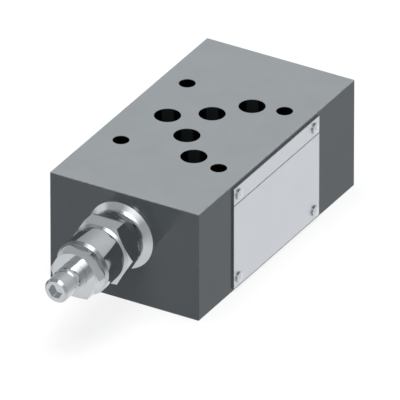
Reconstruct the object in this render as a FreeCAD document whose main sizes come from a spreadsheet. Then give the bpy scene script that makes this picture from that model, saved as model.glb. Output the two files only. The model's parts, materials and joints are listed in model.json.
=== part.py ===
import FreeCAD, Part
import math
import os
import re
import Sketcher

# Sandwich plate with a screw-in relief cartridge, in millimetres.
# The origin is the centre of the bottom face. X runs along the block, away from the cartridge,
# Z is up, and the name plate is on the face towards -Y.

SIZES = {
    # block and its standard port pattern, measured from the pattern's centre
    "block_length": 128.0,
    "block_width": 70.0,
    "block_height": 50.0,
    "block_edge": 0.3,
    "port_p_y": 16.7,
    "port_ab_x": 10.3,
    "port_ab_y": 1.6,
    "port_t_x": 23.8,
    "port_t_y": 9.5,
    "port_bore": 11.2,
    "bolt_spacing_x": 54.0,
    "bolt_spacing_y": 46.0,
    "bolt_bore": 7.0,
    "recess_bore": 16.1,
    "recess_depth": 1.4,
    "port_seal_cord": 1.36,
    "port_seal_gap": 0.02,
    # cartridge cavity, from the left end face inwards
    "axis_height": 29.9,
    "cavity_mouth": 23.8,
    "mouth_depth": 3.1,
    "cavity_thread": 22.0,
    "thread_depth": 18.0,
    "cavity_bore": 19.0,
    "cavity_land": 4.6,
    "nose_bore": 10.0,
    "thread_fit": 0.05,
    "slide_fit": 0.05,
    "shank_fit": 0.1,
    # name plate and rivets
    "plate_width": 70.0,
    "plate_height": 46.7,
    "plate_lift": 1.6,
    "plate_shift": 1.7,
    "plate_thickness": 0.8,
    "score_drop": 7.7,
    "score_width": 0.4,
    "score_depth": 0.4,
    "rivet_inset": 3.9,
    "rivet_head": 4.6,
    "rivet_rim": 0.7,
    "rivet_dome": 0.2,
    "rivet_shank": 2.0,
    "rivet_length": 5.0,
    "rivet_fit": 0.05,
    # cartridge body
    "collar": 30.2,
    "collar_slope": 1.684,
    "collar_fillet": 3.7,
    "neck": 22.4,
    "neck_length": 9.15,
    "main_hex": 26.0,
    "main_hex_length": 7.75,
    "main_hex_face": 26.4,
    "flare_length": 1.0,
    "seal_groove_bore": 19.3,
    "seal_groove_length": 3.1,
    "shank_length": 21.5,
    "spring_bore": 14.0,
    "grip_depth": 9.0,
    "grip_bore": 16.1,
    "spigot": 19.2,
    "spigot_length": 8.6,
    "spigot_gap": 0.4,
    "body_seal_cord": 1.8,
    "body_seal_setback": 1.1,
    # adjuster housing
    "sleeve": 24.4,
    "sleeve_length": 14.9,
    "sleeve_rim": 1.0,
    "sleeve_rim_length": 1.3,
    "spigot_groove": 16.8,
    "spigot_groove_start": 3.2,
    "spigot_groove_width": 1.7,
    "housing_seal_cord": 1.16,
    "seat_bore": 14.5,
    # spring seat
    "seat_length": 7.0,
    "seat_groove": 11.8,
    "seat_groove_start": 2.6,
    "seat_groove_width": 1.8,
    "seat_seal_cord": 1.24,
    "seat_pilot": 7.8,
    "seat_pilot_length": 3.0,
    "travel_in": 4.0,
    "travel_out": 2.0,
    "stop_gap": 0.1,
    # adjusting screw
    "screw_thread": 12.0,
    "screw_tip": 9.2,
    "screw_tip_length": 1.2,
    "screw_core": 11.2,
    "ring_start": 1.6,
    "ring_thickness": 1.2,
    "ring_groove": 9.8,
    "ring_outer": 13.8,
    "ring_fit": 0.05,
    "screw_reach": 14.9,
    "thread_reach": 6.7,
    "screw_end": 10.9,
    "screw_end_bevel": 1.0,
    "socket": 5.6,
    "socket_depth": 2.2,
    # lock nut
    "nut": 20.0,
    "nut_height": 5.9,
    "nut_face": 19.7,
    "nut_recess": 15.2,
    "nut_recess_depth": 1.5,
    "nut_seal_cord": 1.36,
    # cage, seat and poppet
    "nose_setback": 0.1,
    "cage": 16.0,
    "cage_bore": 10.0,
    "cage_neck_length": 8.8,
    "cage_bevel": 1.0,
    "nose_passage": 5.2,
    "nose_groove": 7.3,
    "nose_groove_start": 1.0,
    "nose_groove_width": 2.3,
    "nose_seal_cord": 1.26,
    "backup_thickness": 0.8,
    "seat_ring_setback": 2.1,
    "seat_ring_length": 3.0,
    "seat_ring_hole": 4.4,
    "seat_ring_fit": 0.02,
    "window": 4.5,
    "window_setback": 3.9,
    "window_count": 6,
    "poppet_clearance": 0.06,
    "poppet_tip_length": 1.4,
    "poppet_stem": 6.8,
    "poppet_guide_start": 6.9,
    "poppet_guide_length": 9.0,
    "poppet_stand": 1.1,
    "poppet_groove": 9.3,
    "poppet_groove_width": 0.6,
    "cup": 13.4,
    "cup_thickness": 2.3,
    "cup_pilot": 7.8,
    "cup_pilot_length": 3.2,
    "shim_bore": 8.1,
    "shim_outer": 13.2,
    "shim_thickness": 0.8,
    "spring_outer": 13.2,
    "spring_wire": 2.4,
    "spring_coils": 5,
}

# Stations along the axis, as expressions in the sizes.
END_FACE = "(-block_length / 2)"
B_WALL = "(-port_ab_x - port_bore / 2)"
CAVITY_END = f"({B_WALL} - cavity_land)"
HEX_BACK = f"({END_FACE} - neck_length)"
HEX_FRONT = f"({HEX_BACK} - main_hex_length)"
FLARE_FRONT = f"({HEX_FRONT} - flare_length)"
SLEEVE_FRONT = f"({HEX_FRONT} - sleeve_length)"
NUT_FRONT = f"({SLEEVE_FRONT} - nut_height)"
SCREW_FRONT = f"({NUT_FRONT} - screw_reach)"
BODY_SHOULDER = f"({HEX_FRONT} + spigot_length + spigot_gap)"
SEAT_FRONT = f"({BODY_SHOULDER} - travel_in - stop_gap)"
SEAT_BACK = f"({SEAT_FRONT} - seat_length)"
RING_BACK = f"({SEAT_BACK} - ring_start - ring_thickness)"
HOUSING_SHOULDER = f"({RING_BACK} - travel_out - stop_gap)"
CAGE_TIP = f"({B_WALL} - nose_setback)"
CAGE_HEAD = f"({CAVITY_END} - cage_neck_length)"
SEAT_RING_BACK = f"({CAGE_HEAD} - seat_ring_setback)"
SEAT_EDGE = f"({SEAT_RING_BACK} - seat_ring_length)"
BODY_END = f"({END_FACE} + shank_length)"
GRIP_END = f"({BODY_END} - grip_depth)"
CAGE_END = f"({GRIP_END} + stop_gap)"
POPPET_END = f"({CAGE_END} - poppet_stand)"
CUP_FRONT = f"({POPPET_END} - cup_thickness)"
SHIM_FRONT = f"({CUP_FRONT} - shim_thickness)"
NOSE_GROOVE = f"({CAVITY_END} + nose_groove_start)"
# Slopes of the bevel on a hexagon's corners and of the poppet's cone.
BEVEL = "tan(25 deg)"
POPPET_SLOPE = "tan(30 deg)"
OUTSIDE = "1"
SKETCH_START = 20.0
SKETCH_TURN = 0.35
WORD = re.compile(r"[a-z][a-z_]*[a-z]")

document = FreeCAD.newDocument("sandwich_valve")
sheet = document.addObject("Spreadsheet::Sheet", "Sizes")
for row, (name, size) in enumerate(SIZES.items(), start=1):
    sheet.set(f"A{row}", name)
    sheet.set(f"B{row}", str(size))
    sheet.setAlias(f"B{row}", name)
document.recompute()
nodes = []


def linked(text):
    """An expression written in plain size names, as the sheet's own cells."""
    return WORD.sub(lambda word: f"Sizes.{word.group()}" if word.group() in SIZES else word.group(), text)


def bind(thing, field, text):
    thing.setExpression(field, linked(text))


def keep(thing, name):
    """Marks a finished sub-part and gives it the name of its file."""
    thing.Label = name
    nodes.append(thing)
    return thing


def plane_of(body, role):
    for feature in body.Origin.OriginFeatures:
        if feature.Role == role:
            return feature
    raise ValueError(role)


def new_body(name):
    body = document.addObject("PartDesign::Body", name)
    return keep(body, name)


def set_on_axis(thing):
    """Puts a piece that is turned about X onto the cartridge's axis."""
    bind(thing, "Placement.Base.y", "port_ab_y")
    bind(thing, "Placement.Base.z", "axis_height")


def new_sketch(body, role, name, lift=None):
    sketch = body.newObject("Sketcher::SketchObject", name)
    sketch.AttachmentSupport = [(plane_of(body, role), "")]
    sketch.MapMode = "FlatFace"
    if lift:
        bind(sketch, "AttachmentOffset.Base.z", lift)
    return sketch


def tie(sketch, edge, point, across, up):
    """Holds one point of a sketch at two expressions; "0" lies on the sketch's own axis."""
    for kind, axis, text in (("DistanceX", -2, across), ("DistanceY", -1, up)):
        if text == "0":
            sketch.addConstraint(Sketcher.Constraint("PointOnObject", edge, point, axis))
            continue
        place = sketch.getPoint(edge, point)
        start = place.x if kind == "DistanceX" else place.y
        index = sketch.addConstraint(Sketcher.Constraint(kind, -1, 1, edge, point, start))
        bind(sketch, f"Constraints[{index}]", text)


def outline(sketch, corners):
    """A closed outline through corners, each a pair of expressions."""
    count = len(corners)
    first = sketch.GeometryCount
    turns = [SKETCH_TURN + 2 * math.pi * step / count for step in range(count)]
    spots = [FreeCAD.Vector(math.cos(turn), math.sin(turn), 0) * SKETCH_START for turn in turns]
    for step in range(count):
        sketch.addGeometry(Part.LineSegment(spots[step], spots[(step + 1) % count]))
    for step in range(count):
        joined = Sketcher.Constraint("Coincident", first + step, 2, first + (step + 1) % count, 1)
        sketch.addConstraint(joined)
    for step, (across, up) in enumerate(corners):
        tie(sketch, first + step, 1, across, up)


def rectangle(sketch, left, right, low, high):
    outline(sketch, [(left, low), (right, low), (right, high), (left, high)])


def circles(sketch, centres, diameter):
    """Equal circles, each centre a pair of expressions."""
    first = sketch.GeometryCount
    for step, (across, up) in enumerate(centres):
        centre = FreeCAD.Vector(SKETCH_START * (step + 1), SKETCH_START, 0)
        sketch.addGeometry(Part.Circle(centre, FreeCAD.Vector(0, 0, 1), 1.0))
        tie(sketch, first + step, 3, across, up)
        index = sketch.addConstraint(Sketcher.Constraint("Diameter", first + step, 2.0))
        bind(sketch, f"Constraints[{index}]", diameter)


def hexagon(sketch, flats):
    """A hexagon about the sketch's centre, with a flat on top."""
    reach = f"{flats} / sqrt(3)"
    half = f"{flats} / (2 * sqrt(3))"
    side = f"{flats} / 2"
    corners = [(reach, "0"), (half, side), (f"-{half}", side)]
    corners += [(f"-{reach}", "0"), (f"-{half}", f"-{side}"), (half, f"-{side}")]
    outline(sketch, corners)


def turn(body, name, corners, kind="PartDesign::Revolution"):
    """Adds or cuts the ring swept by a half section about the body's own X axis."""
    sketch = new_sketch(body, "XZ_Plane", f"{name}_section")
    outline(sketch, corners)
    ring = body.newObject(kind, name)
    ring.Profile = sketch
    ring.ReferenceAxis = (sketch, ["H_Axis"])
    ring.Angle = 360.0
    return ring


def groove(body, name, corners):
    return turn(body, name, corners, "PartDesign::Groove")


def pad(body, name, sketch, length):
    feature = body.newObject("PartDesign::Pad", name)
    feature.Profile = sketch
    bind(feature, "Length", length)
    return feature


def pocket(body, name, sketch, length=None, reverse=False):
    feature = body.newObject("PartDesign::Pocket", name)
    feature.Profile = sketch
    feature.Reversed = reverse
    if length:
        bind(feature, "Length", length)
    else:
        feature.Type = "ThroughAll"
    return feature


def bevel_hexagon(body, name, flats, face, back=None, front=None):
    """Turns the corners off a hexagon at its back face, its front face or both."""
    for side, station, sign in (("back", back, "-"), ("front", front, "+")):
        if station is None:
            continue
        rim = f"{station} {sign} ({flats} - {face} / 2) * {BEVEL}"
        groove(body, f"{name}_{side}", [(station, f"{face} / 2"), (station, flats), (rim, flats)])


def rounded(body, feature, name, size, station, diameter):
    """A fillet of the circular edges that lie at one station and diameter."""
    document.recompute()
    picked = []
    for number, edge in enumerate(feature.Shape.Edges, start=1):
        curve = edge.Curve
        if not isinstance(curve, Part.Circle):
            continue
        if math.isclose(curve.Center.x, station) and math.isclose(2 * curve.Radius, diameter):
            picked.append(f"Edge{number}")
    fillet = body.newObject("PartDesign::Fillet", name)
    fillet.Base = (feature, picked)
    bind(fillet, "Radius", size)
    return fillet


def cord_ring(name, station, bore, cord, upright=False):
    """A rubber ring of round cord, about the cartridge's axis or, upright, about Z."""
    ring = document.addObject("Part::Torus", name)
    bind(ring, "Radius1", f"({bore} + {cord}) / 2")
    bind(ring, "Radius2", f"{cord} / 2")
    if not upright:
        ring.Placement = FreeCAD.Placement(FreeCAD.Vector(), FreeCAD.Rotation(FreeCAD.Vector(0, 1, 0), 90))
        bind(ring, "Placement.Base.x", station)
        set_on_axis(ring)
    return keep(ring, name)


# Ports and bolts, as pairs of expressions in the plan.
PORTS = {
    "p": ("0", "port_p_y"),
    "a": ("port_ab_x", "port_ab_y"),
    "b": ("-port_ab_x", "port_ab_y"),
    "t": ("port_t_x", "-port_t_y"),
    "t_left": ("-port_t_x", "-port_t_y"),
}
SIGNS = [("", ""), ("-", ""), ("-", "-"), ("", "-")]
BOLTS = [(f"{left}bolt_spacing_x / 2", f"{down}bolt_spacing_y / 2") for left, down in SIGNS]
PLATE_TOP = "(plate_lift + plate_height)"
PLATE_LEFT = "(-plate_width / 2 - plate_shift)"
PLATE_RIGHT = "(plate_width / 2 - plate_shift)"
RIVET_LOW = "(plate_lift + rivet_inset)"
RIVET_HIGH = f"({PLATE_TOP} - rivet_inset)"
RIVET_LEFT = f"({PLATE_LEFT} + rivet_inset)"
RIVET_RIGHT = f"({PLATE_RIGHT} - rivet_inset)"
RIVETS = [(across, up) for across in (RIVET_RIGHT, RIVET_LEFT) for up in (RIVET_LOW, RIVET_HIGH)]


def valve_block():
    body = new_body("valve_block")
    plan = new_sketch(body, "XY_Plane", "block_plan")
    rectangle(plan, "-block_length / 2", "block_length / 2", "-block_width / 2", "block_width / 2")
    stock = pad(body, "block_stock", plan, "block_height")
    document.recompute()
    edges = body.newObject("PartDesign::Chamfer", "block_edges")
    edges.Base = (stock, [f"Edge{number}" for number in range(1, len(stock.Shape.Edges) + 1)])
    bind(edges, "Size", "block_edge")
    ports = new_sketch(body, "XY_Plane", "port_plan")
    circles(ports, PORTS.values(), "port_bore")
    pocket(body, "port_bores", ports, reverse=True)
    recesses = new_sketch(body, "XY_Plane", "recess_plan")
    circles(recesses, PORTS.values(), "recess_bore")
    pocket(body, "seal_recesses", recesses, "recess_depth", reverse=True)
    bolts = new_sketch(body, "XY_Plane", "bolt_plan")
    circles(bolts, BOLTS, "bolt_bore")
    pocket(body, "bolt_bores", bolts, reverse=True)
    rivets = new_sketch(body, "XZ_Plane", "rivet_plan", "block_width / 2")
    circles(rivets, RIVETS, "rivet_shank + 2 * rivet_fit")
    pocket(body, "rivet_holes", rivets, "rivet_length")
    section = new_sketch(body, "XZ_Plane", "cavity_section", "-port_ab_y")
    bind(section, "AttachmentOffset.Base.y", "axis_height")
    thread_wall = "cavity_thread / 2 + thread_fit"
    outline(section, [
        (f"{END_FACE} - {OUTSIDE}", "0"),
        (f"{END_FACE} - {OUTSIDE}", "cavity_mouth / 2"),
        (END_FACE, "cavity_mouth / 2"),
        (f"{END_FACE} + mouth_depth", thread_wall),
        (f"{END_FACE} + thread_depth", thread_wall),
        (f"{END_FACE} + thread_depth", "cavity_bore / 2"),
        (CAVITY_END, "cavity_bore / 2"),
        (CAVITY_END, "nose_bore / 2"),
        ("-port_ab_x", "nose_bore / 2"),
        ("-port_ab_x", "0"),
    ])
    cavity = body.newObject("PartDesign::Groove", "cartridge_cavity")
    cavity.Profile = section
    cavity.ReferenceAxis = (section, ["H_Axis"])
    cavity.Angle = 360.0


def port_seals():
    for port, (across, up) in PORTS.items():
        bore = "(recess_bore - 2 * port_seal_cord - 4 * port_seal_gap)"
        ring = cord_ring(f"seal_{port}", None, bore, "port_seal_cord", upright=True)
        if across != "0":
            bind(ring, "Placement.Base.x", across)
        bind(ring, "Placement.Base.y", up)
        bind(ring, "Placement.Base.z", "port_seal_gap + port_seal_cord / 2")


def name_plate():
    body = new_body("name_plate")
    face = new_sketch(body, "XZ_Plane", "plate_face", "block_width / 2")
    rectangle(face, PLATE_LEFT, PLATE_RIGHT, "plate_lift", PLATE_TOP)
    pad(body, "plate_sheet", face, "plate_thickness")
    holes = new_sketch(body, "XZ_Plane", "plate_holes_plan", "block_width / 2 + plate_thickness")
    circles(holes, RIVETS, "rivet_shank + 4 * rivet_fit")
    pocket(body, "plate_holes", holes, "plate_thickness")
    line = new_sketch(body, "XZ_Plane", "score_line", "block_width / 2 + plate_thickness")
    low = f"{PLATE_TOP} - score_drop - score_width"
    rectangle(line, PLATE_LEFT, PLATE_RIGHT, low, f"{PLATE_TOP} - score_drop")
    pocket(body, "plate_score", line, "score_depth")


def plate_rivets():
    """A pan head is a disc under a flat cap of a ball; each is fused to its straight shank."""
    ball = "((rivet_head ^ 2 / 4 + rivet_dome ^ 2) / (2 * rivet_dome))"
    face = "(-block_width / 2 - plate_thickness)"
    pieces = []
    for number, (across, up) in enumerate(RIVETS, start=1):
        cap = document.addObject("Part::Sphere", f"rivet_cap_{number}")
        cap.Placement.Rotation = FreeCAD.Rotation(FreeCAD.Vector(1, 0, 0), 90)
        bind(cap, "Radius", ball)
        bind(cap, "Angle1", f"asin(({ball} - rivet_dome) / {ball})")
        bind(cap, "Placement.Base.y", f"{face} - rivet_rim + {ball} - rivet_dome")
        rim = document.addObject("Part::Cylinder", f"rivet_rim_{number}")
        rim.Placement.Rotation = FreeCAD.Rotation(FreeCAD.Vector(1, 0, 0), 90)
        bind(rim, "Radius", "rivet_head / 2")
        bind(rim, "Height", "rivet_rim")
        bind(rim, "Placement.Base.y", face)
        shank = document.addObject("Part::Cylinder", f"rivet_shank_{number}")
        shank.Placement.Rotation = FreeCAD.Rotation(FreeCAD.Vector(1, 0, 0), -90)
        bind(shank, "Radius", "rivet_shank / 2")
        bind(shank, "Height", "rivet_length")
        bind(shank, "Placement.Base.y", face)
        for piece in (cap, rim, shank):
            bind(piece, "Placement.Base.x", across)
            bind(piece, "Placement.Base.z", up)
            pieces.append(piece)
    rivets = document.addObject("Part::MultiFuse", "plate_rivets")
    rivets.Shapes = pieces
    keep(rivets, "plate_rivets")


def cartridge_body():
    body = new_body("cartridge_body")
    cone_end = f"{END_FACE} - (collar - neck) / 2 / collar_slope"
    turn(body, "body_turning", [
        (HEX_FRONT, "0"),
        (HEX_FRONT, "sleeve / 2"),
        (HEX_BACK, "neck / 2"),
        (cone_end, "neck / 2"),
        (END_FACE, "collar / 2"),
        (END_FACE, "seal_groove_bore / 2"),
        (f"{END_FACE} + seal_groove_length", "seal_groove_bore / 2"),
        (f"{END_FACE} + seal_groove_length", "cavity_thread / 2"),
        (f"{END_FACE} + thread_depth", "cavity_thread / 2"),
        (f"{END_FACE} + thread_depth", "cavity_bore / 2 - shank_fit"),
        (BODY_END, "cavity_bore / 2 - shank_fit"),
        (BODY_END, "0"),
    ])
    turning = body.Tip
    station = -SIZES["block_length"] / 2
    station -= (SIZES["collar"] - SIZES["neck"]) / 2 / SIZES["collar_slope"]
    rounded(body, turning, "collar_root", "collar_fillet", station, SIZES["neck"])
    flats = new_sketch(body, "YZ_Plane", "main_hex_plan", FLARE_FRONT)
    hexagon(flats, "main_hex")
    pad(body, "main_hexagon", flats, "flare_length + main_hex_length")
    bevel_hexagon(body, "main_bevel", "main_hex", "main_hex_face", back=HEX_BACK, front=HEX_FRONT)
    groove(body, "sleeve_flare", [
        (FLARE_FRONT, "sleeve / 2"),
        (FLARE_FRONT, "main_hex"),
        (HEX_FRONT, "main_hex"),
        (HEX_FRONT, "main_hex_face / 2"),
    ])
    groove(body, "body_bores", [
        (f"{FLARE_FRONT} - {OUTSIDE}", "0"),
        (f"{FLARE_FRONT} - {OUTSIDE}", f"sleeve / 2 + {OUTSIDE}"),
        (FLARE_FRONT, f"sleeve / 2 + {OUTSIDE}"),
        (FLARE_FRONT, "spigot / 2 + thread_fit"),
        (BODY_SHOULDER, "spigot / 2 + thread_fit"),
        (BODY_SHOULDER, "spring_bore / 2"),
        (GRIP_END, "spring_bore / 2"),
        (GRIP_END, "grip_bore / 2"),
        (f"{BODY_END} + {OUTSIDE}", "grip_bore / 2"),
        (f"{BODY_END} + {OUTSIDE}", "0"),
    ])
    set_on_axis(body)


def adjuster_housing():
    body = new_body("adjuster_housing")
    spigot_end = f"{HEX_FRONT} + spigot_length"
    groove_start = f"{HEX_FRONT} + spigot_groove_start"
    turn(body, "housing_turning", [
        (SLEEVE_FRONT, "screw_thread / 2 + thread_fit"),
        (SLEEVE_FRONT, "sleeve / 2 - sleeve_rim"),
        (f"{SLEEVE_FRONT} + sleeve_rim_length", "sleeve / 2"),
        (FLARE_FRONT, "sleeve / 2"),
        (FLARE_FRONT, "spigot / 2"),
        (groove_start, "spigot / 2"),
        (groove_start, "spigot_groove / 2"),
        (f"{groove_start} + spigot_groove_width", "spigot_groove / 2"),
        (f"{groove_start} + spigot_groove_width", "spigot / 2"),
        (spigot_end, "spigot / 2"),
        (spigot_end, "seat_bore / 2"),
        (HOUSING_SHOULDER, "seat_bore / 2"),
        (HOUSING_SHOULDER, "screw_thread / 2 + thread_fit"),
    ])
    set_on_axis(body)


def spring_seat():
    body = new_body("spring_seat")
    outer = "seat_bore / 2 - slide_fit"
    groove_start = f"{SEAT_BACK} + seat_groove_start"
    turn(body, "seat_turning", [
        (SEAT_BACK, "0"),
        (SEAT_BACK, outer),
        (groove_start, outer),
        (groove_start, "seat_groove / 2"),
        (f"{groove_start} + seat_groove_width", "seat_groove / 2"),
        (f"{groove_start} + seat_groove_width", outer),
        (SEAT_FRONT, outer),
        (SEAT_FRONT, "seat_pilot / 2"),
        (f"{SEAT_FRONT} + seat_pilot_length", "seat_pilot / 2"),
        (f"{SEAT_FRONT} + seat_pilot_length", "0"),
    ])
    set_on_axis(body)


def adjusting_screw():
    body = new_body("adjusting_screw")
    thread_end = f"{NUT_FRONT} - thread_reach"
    ring_front = f"{SEAT_BACK} - ring_start"
    turn(body, "screw_turning", [
        (SCREW_FRONT, "0"),
        (SCREW_FRONT, "screw_end / 2 - screw_end_bevel"),
        (f"{SCREW_FRONT} + screw_end_bevel", "screw_end / 2"),
        (f"{thread_end} - (screw_thread - screw_end) / 2", "screw_end / 2"),
        (thread_end, "screw_thread / 2"),
        (f"{RING_BACK} - ring_thickness", "screw_thread / 2"),
        (f"{RING_BACK} - ring_thickness", "screw_core / 2"),
        (RING_BACK, "screw_core / 2"),
        (RING_BACK, "ring_groove / 2"),
        (ring_front, "ring_groove / 2"),
        (ring_front, "screw_core / 2"),
        (f"{SEAT_BACK} - screw_tip_length", "screw_core / 2"),
        (SEAT_BACK, "screw_tip / 2"),
        (SEAT_BACK, "0"),
    ])
    flats = new_sketch(body, "YZ_Plane", "socket_plan", SCREW_FRONT)
    hexagon(flats, "socket")
    pocket(body, "hex_socket", flats, "socket_depth", reverse=True)
    set_on_axis(body)


def screw_stop_ring():
    body = new_body("screw_stop_ring")
    front = f"{SEAT_BACK} - ring_start - ring_fit"
    back = f"{RING_BACK} + ring_fit"
    turn(body, "ring_turning", [
        (back, "ring_groove / 2 + ring_fit"),
        (back, "ring_outer / 2"),
        (front, "ring_outer / 2"),
        (front, "ring_groove / 2 + ring_fit"),
    ])
    set_on_axis(body)


def lock_nut():
    body = new_body("lock_nut")
    flats = new_sketch(body, "YZ_Plane", "nut_plan", NUT_FRONT)
    hexagon(flats, "nut")
    pad(body, "nut_hexagon", flats, "nut_height")
    bevel_hexagon(body, "nut_bevel", "nut", "nut_face", back=SLEEVE_FRONT, front=NUT_FRONT)
    recess_end = f"{SLEEVE_FRONT} - nut_recess_depth"
    groove(body, "nut_bore", [
        (f"{NUT_FRONT} - {OUTSIDE}", "0"),
        (f"{NUT_FRONT} - {OUTSIDE}", "screw_thread / 2 + thread_fit"),
        (recess_end, "screw_thread / 2 + thread_fit"),
        (recess_end, "nut_recess / 2"),
        (f"{SLEEVE_FRONT} + {OUTSIDE}", "nut_recess / 2"),
        (f"{SLEEVE_FRONT} + {OUTSIDE}", "0"),
    ])
    set_on_axis(body)


def valve_cage():
    body = new_body("valve_cage")
    nose = "nose_bore / 2 - slide_fit"
    turn(body, "cage_turning", [
        (CAGE_END, "cage_bore / 2"),
        (CAGE_END, "cage / 2"),
        (f"{CAGE_HEAD} - cage_bevel", "cage / 2"),
        (CAGE_HEAD, "cage / 2 - cage_bevel"),
        (CAGE_HEAD, nose),
        (NOSE_GROOVE, nose),
        (NOSE_GROOVE, "nose_groove / 2"),
        (f"{NOSE_GROOVE} + nose_groove_width", "nose_groove / 2"),
        (f"{NOSE_GROOVE} + nose_groove_width", nose),
        (CAGE_TIP, nose),
        (CAGE_TIP, "nose_passage / 2"),
        (SEAT_RING_BACK, "nose_passage / 2"),
        (SEAT_RING_BACK, "cage_bore / 2"),
    ])
    plan = new_sketch(body, "XZ_Plane", "window_plan")
    circles(plan, [(f"{SEAT_EDGE} - window_setback", "0")], "window")
    window = pocket(body, "window_cut", plan)
    document.recompute()
    windows = body.newObject("PartDesign::PolarPattern", "windows")
    windows.Originals = [window]
    windows.Axis = (plan, ["H_Axis"])
    windows.Angle = 360.0
    windows.Occurrences = int(SIZES["window_count"])
    bind(windows, "Occurrences", "window_count")
    body.Tip = windows
    set_on_axis(body)


def poppet_seat():
    body = new_body("poppet_seat")
    outer = "cage_bore / 2 - seat_ring_fit"
    turn(body, "seat_ring_turning", [
        (SEAT_EDGE, "seat_ring_hole / 2"),
        (SEAT_EDGE, outer),
        (SEAT_RING_BACK, outer),
        (SEAT_RING_BACK, "seat_ring_hole / 2"),
    ])
    set_on_axis(body)


def relief_poppet():
    body = new_body("relief_poppet")
    edge_radius = "(seat_ring_hole / 2 - poppet_clearance)"
    tip_radius = f"{edge_radius} - poppet_tip_length * {POPPET_SLOPE}"
    cone_end = f"{SEAT_EDGE} - (poppet_stem / 2 - {edge_radius}) / {POPPET_SLOPE}"
    guide = "cage_bore / 2 - slide_fit"
    guide_start = f"{SEAT_EDGE} - poppet_guide_start"
    guide_end = f"{guide_start} - poppet_guide_length"
    turn(body, "poppet_turning", [
        (f"{SEAT_EDGE} + poppet_tip_length", "0"),
        (f"{SEAT_EDGE} + poppet_tip_length", tip_radius),
        (cone_end, "poppet_stem / 2"),
        (guide_start, "poppet_stem / 2"),
        (guide_start, guide),
        (guide_end, guide),
        (guide_end, "poppet_stem / 2"),
        (POPPET_END, "poppet_stem / 2"),
        (POPPET_END, "0"),
    ])
    for step in (1, 2):
        start = f"{guide_start} - poppet_guide_length * {step} / 3"
        groove(body, f"balance_groove_{step}", [
            (start, "poppet_groove / 2"),
            (start, "cage_bore / 2"),
            (f"{start} - poppet_groove_width", "cage_bore / 2"),
            (f"{start} - poppet_groove_width", "poppet_groove / 2"),
        ])
    set_on_axis(body)


def spring_cup():
    body = new_body("spring_cup")
    turn(body, "cup_turning", [
        (POPPET_END, "0"),
        (POPPET_END, "cup / 2"),
        (CUP_FRONT, "cup / 2"),
        (CUP_FRONT, "cup_pilot / 2"),
        (f"{CUP_FRONT} - cup_pilot_length", "cup_pilot / 2"),
        (f"{CUP_FRONT} - cup_pilot_length", "0"),
    ])
    set_on_axis(body)


def preload_shim():
    body = new_body("preload_shim")
    turn(body, "shim_turning", [
        (CUP_FRONT, "shim_bore / 2"),
        (CUP_FRONT, "shim_outer / 2"),
        (SHIM_FRONT, "shim_outer / 2"),
        (SHIM_FRONT, "shim_bore / 2"),
    ])
    set_on_axis(body)


def relief_spring():
    body = new_body("relief_spring")
    section = new_sketch(body, "XZ_Plane", "wire_section")
    centre = (f"{SEAT_FRONT} + spring_wire / 2", "(spring_outer - spring_wire) / 2")
    circles(section, [centre], "spring_wire")
    coil = body.newObject("PartDesign::AdditiveHelix", "spring_coil")
    coil.Profile = section
    coil.ReferenceAxis = (section, ["H_Axis"])
    coil.Mode = 2
    bind(coil, "Height", f"{SHIM_FRONT} - {SEAT_FRONT} - spring_wire")
    bind(coil, "Turns", "spring_coils")
    set_on_axis(body)


def cage_backup_ring():
    body = new_body("cage_backup_ring")
    start = f"{NOSE_GROOVE} + ring_fit"
    turn(body, "backup_turning", [
        (start, "nose_groove / 2 + ring_fit"),
        (start, "nose_bore / 2 - ring_fit"),
        (f"{start} + backup_thickness", "nose_bore / 2 - ring_fit"),
        (f"{start} + backup_thickness", "nose_groove / 2 + ring_fit"),
    ])
    set_on_axis(body)


def cartridge_seals():
    body_station = f"{END_FACE} + body_seal_setback"
    cord_ring("body_seal", body_station, "seal_groove_bore", "body_seal_cord")
    housing_station = f"{HEX_FRONT} + spigot_groove_start + spigot_groove_width / 2"
    cord_ring("housing_seal", housing_station, "(spigot_groove + 2 * ring_fit)", "housing_seal_cord")
    seat_station = f"{SEAT_BACK} + seat_groove_start + seat_groove_width / 2"
    cord_ring("seat_seal", seat_station, "(seat_groove + ring_fit)", "seat_seal_cord")
    nose_station = f"{NOSE_GROOVE} + backup_thickness + 3 * ring_fit + nose_seal_cord / 2"
    cord_ring("cage_seal", nose_station, "(nose_groove + ring_fit)", "nose_seal_cord")
    nut_station = f"{SLEEVE_FRONT} - nut_recess_depth / 2"
    nut_bore = "(nut_recess - 2 * nut_seal_cord - 2 * ring_fit)"
    cord_ring("lock_nut_seal", nut_station, nut_bore, "nut_seal_cord")


def check_and_write():
    document.recompute()
    for thing in document.Objects:
        if "Invalid" in thing.State or "Error" in thing.State:
            raise RuntimeError(f"{thing.Label}: {thing.State}")
    for thing in nodes:
        if thing.Shape.isNull() or not thing.Shape.isValid():
            raise RuntimeError(f"{thing.Label}: bad shape")
    for thing in nodes:
        thing.Shape.exportStep(f"parts/{thing.Label}.step")
        box = thing.Shape.BoundBox
        solids = len(thing.Shape.Solids)
        low = [round(value, 2) for value in (box.XMin, box.YMin, box.ZMin)]
        high = [round(value, 2) for value in (box.XMax, box.YMax, box.ZMax)]
        print(f"{thing.Label}: {solids} solid, {thing.Shape.Volume:.1f} mm3, from {low} to {high}")


os.makedirs("parts", exist_ok=True)
valve_block()
port_seals()
name_plate()
plate_rivets()
cartridge_body()
adjuster_housing()
spring_seat()
adjusting_screw()
screw_stop_ring()
lock_nut()
valve_cage()
poppet_seat()
relief_poppet()
spring_cup()
preload_shim()
relief_spring()
cage_backup_ring()
cartridge_seals()
check_and_write()
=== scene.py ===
import json
import math

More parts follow.
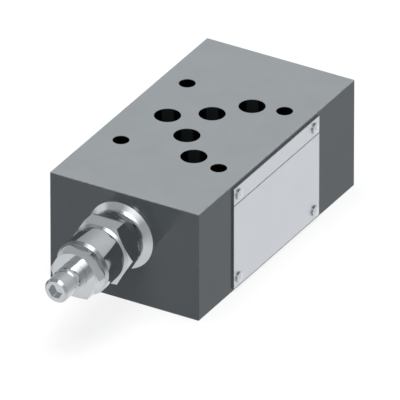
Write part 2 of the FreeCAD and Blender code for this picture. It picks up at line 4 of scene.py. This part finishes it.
import bmesh
import bpy
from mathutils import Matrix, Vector


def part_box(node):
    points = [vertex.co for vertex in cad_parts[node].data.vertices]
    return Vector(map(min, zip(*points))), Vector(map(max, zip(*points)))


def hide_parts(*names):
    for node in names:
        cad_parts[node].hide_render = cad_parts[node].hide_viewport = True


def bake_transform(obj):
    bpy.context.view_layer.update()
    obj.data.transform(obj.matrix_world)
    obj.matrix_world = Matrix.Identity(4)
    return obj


# Looks of a hydraulic sandwich valve: a phosphated steel plate with a plated relief cartridge.

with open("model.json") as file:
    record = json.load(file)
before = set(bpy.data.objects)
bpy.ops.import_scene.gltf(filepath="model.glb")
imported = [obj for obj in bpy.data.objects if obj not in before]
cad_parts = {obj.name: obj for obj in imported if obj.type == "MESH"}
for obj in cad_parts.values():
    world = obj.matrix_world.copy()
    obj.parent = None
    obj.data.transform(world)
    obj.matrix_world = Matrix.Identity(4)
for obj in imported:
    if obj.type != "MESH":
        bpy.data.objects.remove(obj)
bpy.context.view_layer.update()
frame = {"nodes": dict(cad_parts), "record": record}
nodes = frame["nodes"]

MM = 0.001
WHITE = (1.0, 1.0, 1.0)

# Camera: a long lens, so that the view is nearly parallel.
VIEW_AZIMUTH = math.radians(-60.0)
VIEW_ELEVATION = math.radians(30.0)
VIEW_TARGET = Vector((-13.1, -6.2, 23.2)) * MM
VIEW_WIDTH = 163.4 * MM
LENS = 1650.0
SENSOR = 36.0

# Axis of the cartridge and the faces of the block, the plate and the rivets, from the frame.
BLOCK_LOW, BLOCK_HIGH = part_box("valve_block")
NUT_LOW, NUT_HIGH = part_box("lock_nut")
AXIS_Y = (NUT_LOW.y + NUT_HIGH.y) / 2
AXIS_Z = (NUT_LOW.z + NUT_HIGH.z) / 2
PLATE_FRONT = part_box("name_plate")[0].y
RIVET_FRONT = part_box("plate_rivets")[0].y

# Relief spring: its room is the solid's, its wire and turns are its own.
SPRING_LOW, SPRING_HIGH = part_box("relief_spring")
SPRING_WIRE = 2.2 * MM
SPRING_TURNS = 5.0
CLOSED_TURNS = 1.0
RESTING_TURN = 3.2
CLOSED_PITCH = 1.02 * SPRING_WIRE
GROUND_OFF = 0.2 * SPRING_WIRE
STEPS_PER_TURN = 48
WIRE_SIDES = 20
SHARP_EDGE = math.radians(40.0)

# Patches in the finishes: how many lie in a metre, and the part of the noise that is stretched.
WEAR_PATCHES = 300.0
TURNED_PATCHES = 120.0
BRUSHED_PATCHES = 60.0
WHOLE_STRETCH = (0.0, 1.0)
GRAIN_STRETCH = (0.3, 0.7)
PATCH_STRETCH = (0.35, 0.65)
MARK_STRETCH = (0.2, 0.8)
WEAR_UNEVENNESS = (0.5, 1.5)

# Painted reflection: a lighter strip painted on the port bores' walls. The way its wall faces, how
# far it reaches round from there, and the half width of the ports' rows and of the middle ports, each
# with a soft edge.
REFLECTION_FACING = (-0.866, -0.5, 0.0)
REFLECTION_REACH = (0.87, 0.95)
PORT_ROWS = (19.0 * MM, 18.0 * MM)
MIDDLE_PORTS = (20.0 * MM, 15.0 * MM)

# How far behind the front face the painted shade on the plate's cut edges and on the rivets' steep
# sides begins.
PLATE_EDGE_SHADE = (0.03 * MM, 0.10 * MM)
RIVET_SIDE_SHADE = (0.22 * MM, 0.30 * MM)


# Shader building blocks


def feed(tree, socket, value):
    """Gives a socket a value, or links it where the value is another node's output."""
    if isinstance(value, bpy.types.NodeSocket):
        tree.links.new(value, socket)
    else:
        socket.default_value = value


def add(tree, kind, inputs=None, **fields):
    """A new node with its fields set and its inputs fed."""
    node = tree.nodes.new(kind)
    for field, value in fields.items():
        setattr(node, field, value)
    for name, value in (inputs or {}).items():
        feed(tree, node.inputs[name], value)
    return node


def calc(tree, operation, *values):
    """One step of arithmetic, and its result."""
    return add(tree, "ShaderNodeMath", dict(enumerate(values)), operation=operation).outputs[0]


def calc_vector(tree, operation, *vectors):
    """One step of vector arithmetic; a length or a dot product comes out as a plain value."""
    node = add(tree, "ShaderNodeVectorMath", dict(enumerate(vectors)), operation=operation)
    return node.outputs["Value" if operation in ("LENGTH", "DOT_PRODUCT") else "Vector"]


def root_of_squares(tree, one, other):
    """The long side of a right-angled triangle."""
    squares = [calc(tree, "POWER", side, 2.0) for side in (one, other)]
    return calc(tree, "SQRT", calc(tree, "ADD", *squares))


def per_metre(tree, size):
    """How many of this size lie in a metre."""
    return calc(tree, "DIVIDE", 1.0, size)


def fade(tree, value, start, end, low=0.0, high=1.0):
    """A smooth step of value, from low at start to high at end."""
    inputs = {"Value": value, "From Min": start, "From Max": end, "To Min": low, "To Max": high}
    node = add(tree, "ShaderNodeMapRange", inputs, interpolation_type="SMOOTHSTEP")
    return node.outputs["Result"]


def place(tree):
    """The point's own place in the part's frame."""
    return add(tree, "ShaderNodeTexCoord").outputs["Object"]


def split(tree, vector):
    """A vector's three values, by the names X, Y and Z."""
    return add(tree, "ShaderNodeSeparateXYZ", {"Vector": vector}).outputs


def noise(tree, vector, scale, detail=2.0, rough=0.5):
    """Soft noise about 0.5."""
    inputs = {"Vector": vector, "Scale": scale, "Detail": detail, "Roughness": rough}
    return add(tree, "ShaderNodeTexNoise", inputs).outputs["Fac"]


def layer(tree, mask, under, over):
    """Lays one colour over another as far as the mask says; a node's colour can be either."""
    mix = add(tree, "ShaderNodeMix", {0: mask}, data_type="RGBA")
    sockets = [socket for socket in mix.inputs if socket.type == "RGBA"]
    for socket, colour in zip(sockets, (under, over)):
        feed(tree, socket, (*colour, 1.0) if isinstance(colour, tuple) else colour)
    return [socket for socket in mix.outputs if socket.type == "RGBA"][0]


def new_group(name, inputs, outputs):
    """An empty shader group; each input is a name with its default, each output a name."""
    tree = bpy.data.node_groups.new(name, "ShaderNodeTree")
    for label, default in inputs.items():
        kind = "NodeSocketVector" if isinstance(default, tuple) else "NodeSocketFloat"
        socket = tree.interface.new_socket(label, in_out="INPUT", socket_type=kind)
        socket.default_value = default
    for label in outputs:
        tree.interface.new_socket(label, in_out="OUTPUT", socket_type="NodeSocketFloat")
    source = tree.nodes.new("NodeGroupInput")
    result = tree.nodes.new("NodeGroupOutput")
    return tree, source.outputs, result.inputs


def use(tree, group, **inputs):
    """Places a shared group; an input's words are joined with _."""
    node = add(tree, "ShaderNodeGroup", node_tree=group)
    for name, value in inputs.items():
        feed(tree, node.inputs[name.replace("_", " ")], value)
    return node.outputs


# Shared effects


def make_fine_grain():
    """Small even grain with a slow drift, both about 0.5."""
    inputs = {"Grain Size": 0.4 * MM, "Drift Size": 14 * MM}
    tree, given, result = new_group("fine_grain", inputs, ["Grain", "Drift"])
    spot = place(tree)
    grain = noise(tree, spot, per_metre(tree, given["Grain Size"]), 3.0, 0.6)
    drift = noise(tree, spot, per_metre(tree, given["Drift Size"]))
    feed(tree, result["Grain"], fade(tree, grain, *GRAIN_STRETCH))
    feed(tree, result["Drift"], fade(tree, drift, *GRAIN_STRETCH))
    return tree


def make_box_wear_and_shade():
    """Edges: 1 along a box's rubbed edges. Depth: 1 inside it, such as a bore's wall, where shade is
    painted.
    """
    inputs = {"Low": (0.0, 0.0, 0.0), "High": (1.0, 1.0, 1.0), "Width": 0.8 * MM, "Skin": 0.16 * MM}
    tree, given, result = new_group("box_wear_and_shade", inputs, ["Edges", "Depth"])
    spot = place(tree)
    from_low = calc_vector(tree, "SUBTRACT", spot, given["Low"])
    from_high = calc_vector(tree, "SUBTRACT", given["High"], spot)
    gap = split(tree, calc_vector(tree, "MINIMUM", from_low, from_high))
    lesser = calc(tree, "MINIMUM", gap["X"], gap["Y"])
    greater = calc(tree, "MAXIMUM", gap["X"], gap["Y"])
    middle = calc(tree, "MAXIMUM", lesser, calc(tree, "MINIMUM", greater, gap["Z"]))
    smallest = calc(tree, "MINIMUM", lesser, gap["Z"])
    patches = noise(tree, spot, WEAR_PATCHES, 3.0)
    uneven = fade(tree, patches, *PATCH_STRETCH, *WEAR_UNEVENNESS)
    rough_width = calc(tree, "MULTIPLY", given["Width"], uneven)
    skin_end = calc(tree, "MULTIPLY", given["Skin"], 2.0)
    feed(tree, result["Edges"], fade(tree, middle, rough_width, 0.0))
    feed(tree, result["Depth"], fade(tree, smallest, given["Skin"], skin_end))
    return tree


def make_turned_rings():
    """Tool marks that run round the cartridge's axis, on its cylinders, cones and end faces."""
    inputs = {"Axis Y": AXIS_Y, "Axis Z": AXIS_Z, "Spacing": 0.12 * MM}
    tree, given, result = new_group("turned_rings", inputs, ["Rings", "Patches"])
    spot = place(tree)
    part = split(tree, spot)
    side = calc(tree, "SUBTRACT", part["Y"], given["Axis Y"])
    rise = calc(tree, "SUBTRACT", part["Z"], given["Axis Z"])
    radius = root_of_squares(tree, side, rise)
    ring = add(tree, "ShaderNodeCombineXYZ", {"X": part["X"], "Y": radius}).outputs[0]
    feed(tree, result["Rings"], noise(tree, ring, per_metre(tree, given["Spacing"])))
    patches = noise(tree, spot, TURNED_PATCHES, 3.0)
    feed(tree, result["Patches"], fade(tree, patches, *PATCH_STRETCH))
    return tree


def make_brushed_lines():
    """Fine straight lines along X, as on a brushed sheet."""
    inputs = {"Line Width": 0.15 * MM, "Stretch": 40.0}
    tree, given, result = new_group("brushed_lines", inputs, ["Lines", "Patches"])
    spot = place(tree)
    part = split(tree, spot)
    drawn_out = calc(tree, "DIVIDE", part["X"], given["Stretch"])
    inputs = {"X": drawn_out, "Y": part["Y"], "Z": part["Z"]}
    line = add(tree, "ShaderNodeCombineXYZ", inputs).outputs[0]
    feed(tree, result["Lines"], noise(tree, line, per_metre(tree, given["Line Width"])))
    patches = noise(tree, spot, BRUSHED_PATCHES)
    feed(tree, result["Patches"], fade(tree, patches, *PATCH_STRETCH))
    return tree


FINE_GRAIN = make_fine_grain()
BOX_WEAR_AND_SHADE = make_box_wear_and_shade()
TURNED_RINGS = make_turned_rings()
BRUSHED_LINES = make_brushed_lines()


# Materials


def new_material(name, **fixed):
    """A material with one Principled shader; fixed are its sockets that are the same all over."""
    material = bpy.data.materials.new(name)
    material.use_nodes = True
    tree = material.node_tree
    shader = tree.nodes["Principled BSDF"]
    for socket, value in fixed.items():
        shader.inputs[socket.replace("_", " ")].default_value = value
    return material, tree, shader


def paint(tree, shader, tint):
    """Gives a material its colour."""
    feed(tree, shader.inputs["Base Color"], tint)


def polish(tree, shader, marks, stretch, smooth, rough):
    """Makes a material's surface go from smooth to rough with its marks."""
    feed(tree, shader.inputs["Roughness"], fade(tree, marks, *stretch, smooth, rough))


def rough_up(tree, shader, height, depth, strength):
    """Small bumps as deep as this, which show with this strength."""
    inputs = {"Height": height, "Distance": depth, "Strength": strength}
    feed(tree, shader.inputs["Normal"], add(tree, "ShaderNodeBump", inputs).outputs["Normal"])


def painted_port_reflection(tree):
    """Mask of a painted reflection: 1 on a lengthwise strip of the port bores' walls, 0 in the bolt
    holes.
    """
    normal = add(tree, "ShaderNodeNewGeometry").outputs["Normal"]
    facing = calc_vector(tree, "DOT_PRODUCT", normal, REFLECTION_FACING)
    part = split(tree, place(tree))
    in_rows = fade(tree, calc(tree, "ABSOLUTE", part["Y"]), *PORT_ROWS)
    in_middle = fade(tree, calc(tree, "ABSOLUTE", part["X"]), *MIDDLE_PORTS)
    ports = calc(tree, "MAXIMUM", in_rows, in_middle)
    return calc(tree, "MULTIPLY", fade(tree, facing, *REFLECTION_REACH), ports)


def phosphated_steel():
    """The block's even grey, rubbed at its edges, with painted shade in its bores and a painted
    reflection strip.
    """
    material, tree, shader = new_material("phosphated_steel", IOR=1.5, Specular_IOR_Level=0.38)
    grain = use(tree, FINE_GRAIN, Grain_Size=0.25 * MM)
    wear_and_shade = use(tree, BOX_WEAR_AND_SHADE, Low=tuple(BLOCK_LOW), High=tuple(BLOCK_HIGH))
    grain_share = calc(tree, "MULTIPLY", grain["Grain"], 0.6)
    tone = calc(tree, "ADD", grain_share, calc(tree, "MULTIPLY", grain["Drift"], 0.4))
    skin = layer(tree, tone, (0.189, 0.202, 0.2095), (0.215, 0.228, 0.236))
    rubbed = layer(tree, calc(tree, "MULTIPLY", wear_and_shade["Edges"], 0.35), skin, (0.36, 0.37, 0.38))
    # Painted shade: the walls inside the bores are painted nearly black.
    walls = layer(tree, wear_and_shade["Depth"], rubbed, (0.002, 0.002, 0.002))
    # Painted reflection: a lighter strip on the port bores' walls.
    painted_reflection = calc(tree, "MULTIPLY", wear_and_shade["Depth"], painted_port_reflection(tree))
    paint(tree, shader, layer(tree, painted_reflection, walls, (0.028, 0.033, 0.036)))
    polish(tree, shader, tone, WHOLE_STRETCH, 0.11, 0.14)
    rough_up(tree, shader, grain["Grain"], 0.006 * MM, 0.1)
    return material


def plated_steel():
    """Bright plating over turned steel, on the pieces that stand out of the block."""
    material, tree, shader = new_material("plated_steel", Metallic=1.0)
    marks = use(tree, TURNED_RINGS)
    paint(tree, shader, layer(tree, marks["Patches"], (0.660, 0.680, 0.695), (0.695, 0.712, 0.724)))
    polish(tree, shader, marks["Rings"], MARK_STRETCH, 0.05, 0.10)
    rough_up(tree, shader, marks["Rings"], 0.001 * MM, 0.1)
    return material


def satin_aluminium():
    """Even satin face; painted shade darkens the sheared edges and the cut line."""
    material, tree, shader = new_material("satin_aluminium", Metallic=0.85)
    marks = use(tree, BRUSHED_LINES)
    face = layer(tree, marks["Patches"], (0.922, 0.936, 0.962), (0.936, 0.950, 0.975))
    across = split(tree, place(tree))["Y"]
    # Painted shade on the sheared edges and the cut line, behind the front face.
    cut = fade(tree, across, *[PLATE_FRONT + depth for depth in PLATE_EDGE_SHADE])
    paint(tree, shader, layer(tree, cut, face, (0.30, 0.31, 0.32)))
    polish(tree, shader, marks["Lines"], MARK_STRETCH, 0.36, 0.43)
    rough_up(tree, shader, marks["Lines"], 0.003 * MM, 0.06)
    return material


def bright_rivet():
    """Bright pan head; painted shade darkens its steep side."""
    material, tree, shader = new_material("bright_rivet", Metallic=1.0)
    grain = use(tree, FINE_GRAIN, Grain_Size=0.3 * MM)
    head = layer(tree, grain["Grain"], (0.79, 0.80, 0.815), (0.82, 0.83, 0.845))
    across = split(tree, place(tree))["Y"]
    # Painted shade on the rivet's steep side.
    side = fade(tree, across, *[RIVET_FRONT + depth for depth in RIVET_SIDE_SHADE])
    paint(tree, shader, layer(tree, side, head, (0.42, 0.43, 0.44)))
    polish(tree, shader, grain["Grain"], WHOLE_STRETCH, 0.2, 0.3)
    rough_up(tree, shader, grain["Grain"], 0.004 * MM, 0.1)
    return material


def ground_steel():
    """Hard ground steel of the cage, the two seats, the poppet and the spring cup."""
    material, tree, shader = new_material("ground_steel", Metallic=1.0)
    marks = use(tree, TURNED_RINGS, Spacing=0.06 * MM)
    paint(tree, shader, layer(tree, marks["Patches"], (0.46, 0.46, 0.47), (0.52, 0.52, 0.53)))
    polish(tree, shader, marks["Rings"], MARK_STRETCH, 0.22, 0.34)
    rough_up(tree, shader, marks["Rings"], 0.003 * MM, 0.3)
    return material


def oiled_spring_steel():
    """Dark oiled steel of the spring, its shim and the stop ring."""
    material, tree, shader = new_material("oiled_spring_steel", Metallic=1.0)
    grain = use(tree, FINE_GRAIN, Grain_Size=0.5 * MM, Drift_Size=6 * MM)
    paint(tree, shader, layer(tree, grain["Drift"], (0.24, 0.235, 0.23), (0.34, 0.33, 0.32)))
    polish(tree, shader, grain["Grain"], WHOLE_STRETCH, 0.28, 0.42)
    rough_up(tree, shader, grain["Grain"], 0.01 * MM, 0.3)
    return material


def black_rubber():
    """Dull black rubber of the seals."""
    material, tree, shader = new_material("black_rubber", IOR=1.5)
    grain = use(tree, FINE_GRAIN, Grain_Size=0.2 * MM, Drift_Size=4 * MM)
    paint(tree, shader, layer(tree, grain["Drift"], (0.016, 0.016, 0.017), (0.03, 0.03, 0.031)))
    polish(tree, shader, grain["Grain"], WHOLE_STRETCH, 0.45, 0.6)
    rough_up(tree, shader, grain["Grain"], 0.01 * MM, 0.4)
    return material


def white_backup_plastic():
    """Waxy white plastic of the backup ring."""
    material, tree, shader = new_material("white_backup_plastic", IOR=1.35)
    grain = use(tree, FINE_GRAIN, Grain_Size=0.3 * MM, Drift_Size=5 * MM)
    paint(tree, shader, layer(tree, grain["Drift"], (0.74, 0.74, 0.72), (0.82, 0.82, 0.80)))
    polish(tree, shader, grain["Grain"], WHOLE_STRETCH, 0.4, 0.5)
    rough_up(tree, shader, grain["Grain"], 0.005 * MM, 0.3)
    return material


FINISHES = {
    "block_steel": phosphated_steel(),
    "plate_aluminium": satin_aluminium(),
    "rivet_steel": bright_rivet(),
    "plated_steel": plated_steel(),
    "hardened_steel": ground_steel(),
    "spring_steel": oiled_spring_steel(),
    "seal_rubber": black_rubber(),
    "backup_plastic": white_backup_plastic(),
}


def finish_nodes():
    """Gives each solid of the frame the finish of its slot."""
    for entry in frame["record"]["subparts"]:
        mesh = nodes[entry["node"]].data
        mesh.materials.clear()
        mesh.materials.append(FINISHES[entry["material_slot"]])


# Relief spring


def wire_station(turn):
    """How far along the spring the wire's middle lies after so many turns."""
    first = SPRING_LOW.x + SPRING_WIRE / 2 - GROUND_OFF
    last = SPRING_HIGH.x - SPRING_WIRE / 2 + GROUND_OFF
    working = SPRING_TURNS - 2 * CLOSED_TURNS
    pitch = (last - first - 2 * CLOSED_TURNS * CLOSED_PITCH) / working
    closed_behind = min(turn, CLOSED_TURNS) + max(turn - CLOSED_TURNS - working, 0.0)
    open_behind = min(max(turn - CLOSED_TURNS, 0.0), working)
    return first + closed_behind * CLOSED_PITCH + open_behind * pitch


def wire_ring(form, turn):
    """The wire's round section at one turn, cut off where the spring's ends are ground flat."""
    coil_radius = (SPRING_HIGH.z - SPRING_LOW.z - SPRING_WIRE) / 2
    angle = 2 * math.pi * turn
    outward = Vector((0.0, math.cos(angle), math.sin(angle)))
    centre = Vector((wire_station(turn), AXIS_Y, AXIS_Z)) + outward * coil_radius
    ring = []
    for side in range(WIRE_SIDES):
        round_wire = 2 * math.pi * side / WIRE_SIDES
        way = outward * math.cos(round_wire) + Vector((math.sin(round_wire), 0.0, 0.0))
        spot = centre + way * SPRING_WIRE / 2
        spot.x = min(max(spot.x, SPRING_LOW.x), SPRING_HIGH.x)
        ring.append(form.verts.new(spot))
    return ring


def make_spring_length(name, first_turn, last_turn):
    """Round wire wound from one turn to another, closed at both ends."""
    form = bmesh.new()
    steps = range(round(first_turn * STEPS_PER_TURN), round(last_turn * STEPS_PER_TURN) + 1)
    rings = [wire_ring(form, step / STEPS_PER_TURN) for step in steps]
    for ring, following in zip(rings, rings[1:]):
        for side in range(WIRE_SIDES):
            after = (side + 1) % WIRE_SIDES
            form.faces.new((ring[side], ring[after], following[after], following[side]))
    form.faces.new(rings[0])
    form.faces.new(rings[-1])
    bmesh.ops.recalc_face_normals(form, faces=form.faces)
    mesh = bpy.data.meshes.new(name)
    form.to_mesh(mesh)
    form.free()
    mesh.shade_smooth()
    mesh.set_sharp_from_angle(angle=SHARP_EDGE)
    mesh.materials.append(FINISHES["spring_steel"])
    spring = bpy.data.objects.new(name, mesh)
    bpy.context.scene.collection.objects.link(spring)
    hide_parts("relief_spring")
    return spring


def make_relief_spring():
    """Two lengths of wire that meet at a resting coil: the turns behind it at the seat end, those
    before it at the poppet end.
    """
    seat_length = make_spring_length("relief_spring_seat_end", 0.0, RESTING_TURN)
    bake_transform(seat_length)
    poppet_length = make_spring_length("relief_spring_poppet_end", RESTING_TURN, SPRING_TURNS)
    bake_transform(poppet_length)


# Floor

FLOOR_SIZE = 8.0
FLOOR_CELLS = 8
FLOOR_DROP = 0.05 * MM
FLOOR_TONE = (0.86, 0.86, 0.86)
FLOOR_GLOW = (0.86, 1.0)
SHADOW_REACH = (0.15, 0.6)


def mix_shaders(tree, share, first, second):
    """A blend of two shaders; share is how much of the second there is."""
    return add(tree, "ShaderNodeMixShader", {0: share, 1: first, 2: second}).outputs[0]


def pale_floor():
    """White to the camera but for the part's soft shadow, and clear when seen from below."""
    material = bpy.data.materials.new("pale_floor")
    material.use_nodes = True
    tree = material.node_tree
    tree.nodes.clear()
    lit = add(tree, "ShaderNodeBsdfDiffuse", {"Color": (*FLOOR_TONE, 1.0)}).outputs[0]
    glow = add(tree, "ShaderNodeEmission", {"Color": (*WHITE, 1.0), "Strength": 1.0}).outputs[0]
    far_off = calc_vector(tree, "LENGTH", place(tree))
    seen = mix_shaders(tree, fade(tree, far_off, *SHADOW_REACH, *FLOOR_GLOW), lit, glow)
    clear = add(tree, "ShaderNodeBsdfTransparent").outputs[0]
    from_below = add(tree, "ShaderNodeNewGeometry").outputs["Backfacing"]
    whole = mix_shaders(tree, from_below, seen, clear)
    add(tree, "ShaderNodeOutputMaterial", {"Surface": whole})
    return material


def make_floor():
    """A wide level floor that the metal doesn't mirror and that throws no light back."""
    bpy.ops.mesh.primitive_grid_add(
        x_subdivisions=FLOOR_CELLS, y_subdivisions=FLOOR_CELLS, size=FLOOR_SIZE,
        location=(0.0, 0.0, -FLOOR_DROP),
    )
    floor = bpy.context.object
    floor.name = "studio_floor"
    floor.data.materials.append(pale_floor())
    floor.visible_glossy = False
    floor.visible_diffuse = False


# Studio that the metal mirrors

# How bright the room is, and the elevations between which one part of it fades into the next, in
# degrees.
CEILING = 0.24
WALLS = 0.44
GROUND = 0.76
CEILING_TO_WALLS = (70.0, 22.0)
WALLS_TO_GROUND = (-2.0, -40.0)

# Soft panels hung in the room. Angles are in degrees, and a dark flag's brightness is below 0.
PANEL_SETTINGS = (
    "Middle_Azimuth", "Middle_Elevation", "Half_Width", "Half_Height", "Softness", "Brightness",
)
STUDIO_PANELS = {
    "wide window beyond the far end": (85, 10, 45, 70, 0.6, 0.29),
    "dark flag behind the block": (170, 25, 50, 70, 0.7, -0.25),
    "dark flag before the name plate": (0, 20, 40, 45, 0.5, -0.35),
    "big window before the cartridge": (280, 45, 40, 40, 0.7, 1.4),
    "overhead strip": (265, 65, 50, 10, 0.7, 0.8),
    "bare lamp in the window": (270, 40, 15, 15, 0.7, 7.0),
    "lamp's upper edge": (290, 55, 20, 10, 0.8, 2.0),
    "low bounce card at the back": (200, 5, 25, 20, 0.6, 0.4),
    "pale floor before the cartridge": (265, -30, 35, 35, 0.7, 0.3),
    "dark floor before the name plate": (5, -35, 20, 30, 0.6, -0.5),
}


def make_studio_panel():
    """A soft oval panel, as bright in its middle as asked and gone at its rim."""
    inputs = {"Azimuth": 0.0, "Elevation": 0.0, "Middle Azimuth": 0.0, "Middle Elevation": 0.0}
    inputs.update({"Half Width": 20.0, "Half Height": 20.0, "Softness": 0.7, "Brightness": 1.0})
    tree, given, result = new_group("studio_panel", inputs, ["Light"])
    turn = calc(tree, "SUBTRACT", given["Azimuth"], given["Middle Azimuth"])
    turn = calc(tree, "WRAP", turn, 180.0, -180.0)
    rise = calc(tree, "SUBTRACT", given["Elevation"], given["Middle Elevation"])
    across = calc(tree, "DIVIDE", turn, given["Half Width"])
    upward = calc(tree, "DIVIDE", rise, given["Half Height"])
    outward = root_of_squares(tree, across, upward)
    full = calc(tree, "SUBTRACT", 1.0, given["Softness"])
    feed(tree, result["Light"], fade(tree, outward, 1.0, full, 0.0, given["Brightness"]))
    return tree


def look_up(tree):
    """The direction's azimuth (0 along -Y, 90 along +X) and elevation, in degrees."""
    way = split(tree, add(tree, "ShaderNodeTexCoord").outputs["Generated"])
    azimuth = calc(tree, "ARCTAN2", way["X"], calc(tree, "MULTIPLY", way["Y"], -1.0))
    elevation = calc(tree, "ARCSINE", way["Z"])
    return calc(tree, "DEGREES", azimuth), calc(tree, "DEGREES", elevation)


def mirrored_studio(tree):
    """What the metal mirrors: ceiling, walls and ground, with the soft panels laid over them."""
    azimuth, elevation = look_up(tree)
    room = fade(tree, elevation, *CEILING_TO_WALLS, CEILING, WALLS)
    light = fade(tree, elevation, *WALLS_TO_GROUND, room, GROUND)
    studio_panel = make_studio_panel()
    for values in STUDIO_PANELS.values():
        settings = dict(zip(PANEL_SETTINGS, values))
        panel = use(tree, studio_panel, Azimuth=azimuth, Elevation=elevation, **settings)
        light = calc(tree, "ADD", light, panel["Light"])
    return calc(tree, "MAXIMUM", light, 0.0)


# World, lamp and camera

AMBIENT_TINT = (0.85, 0.99, 1.10)
AMBIENT_LIGHT = 0.165
STUDIO_TINT = (0.98, 1.0, 1.015)
KEY_PLACE = (-0.05, 0.03, 1.2)
KEY_SIDE = 0.8
KEY_BRIGHTNESS = 10.9


def lit_by(tree, kinds):
    """1 for a ray of one of these kinds."""
    rays = add(tree, "ShaderNodeLightPath").outputs
    total = rays[kinds[0]]
    for kind in kinds[1:]:
        total = calc(tree, "MAXIMUM", total, rays[kind])
    return total


def backdrop(tree, tint, strength):
    """Light of one tint from all round."""
    inputs = {"Color": (*tint, 1.0), "Strength": strength}
    return add(tree, "ShaderNodeBackground", inputs).outputs[0]


def make_world():
    """White behind the part, a plain grey for soft light, and a studio for the metal to mirror."""
    world = bpy.data.worlds.new("soft_studio")
    bpy.context.scene.world = world
    world.cycles.sampling_method = "NONE"
    world.use_nodes = True
    tree = world.node_tree
    tree.nodes.clear()
    ambient = backdrop(tree, AMBIENT_TINT, AMBIENT_LIGHT)
    studio = backdrop(tree, STUDIO_TINT, mirrored_studio(tree))
    bounced = mix_shaders(tree, lit_by(tree, ["Is Glossy Ray"]), ambient, studio)
    behind = lit_by(tree, ["Is Camera Ray", "Is Transmission Ray"])
    whole = mix_shaders(tree, behind, bounced, backdrop(tree, WHITE, 1.0))
    add(tree, "ShaderNodeOutputWorld", {"Surface": whole})


def make_key_softbox():
    """A level square lamp that faces down, which the metal doesn't mirror."""
    lamp = bpy.data.lights.new("key_softbox", "AREA")
    lamp.shape = "RECTANGLE"
    lamp.size = KEY_SIDE
    lamp.size_y = KEY_SIDE
    lamp.energy = KEY_BRIGHTNESS * math.pi * KEY_SIDE * KEY_SIDE
    softbox = bpy.data.objects.new("key_softbox", lamp)
    softbox.location = KEY_PLACE
    softbox.visible_glossy = False
    bpy.context.scene.collection.objects.link(softbox)


def make_camera():
    """A camera on the photograph's line of sight, far enough off to frame the part."""
    back = Vector((
        math.sin(VIEW_AZIMUTH) * math.cos(VIEW_ELEVATION),
        -math.cos(VIEW_AZIMUTH) * math.cos(VIEW_ELEVATION),
        math.sin(VIEW_ELEVATION),
    ))
    distance = VIEW_WIDTH * LENS / SENSOR
    camera = bpy.data.cameras.new("camera")
    camera.sensor_width = SENSOR
    camera.lens = LENS
    camera.clip_start = distance / 10
    camera.clip_end = distance * 10
    holder = bpy.data.objects.new("camera", camera)
    holder.location = VIEW_TARGET + back * distance
    holder.rotation_mode = "QUATERNION"
    holder.rotation_quaternion = (-back).to_track_quat("-Z", "Y")
    bpy.context.scene.collection.objects.link(holder)
    bpy.context.scene.camera = holder


finish_nodes()
make_relief_spring()
make_floor()
make_world()
make_key_softbox()
make_camera()
bpy.context.scene.view_settings.view_transform = "Standard"
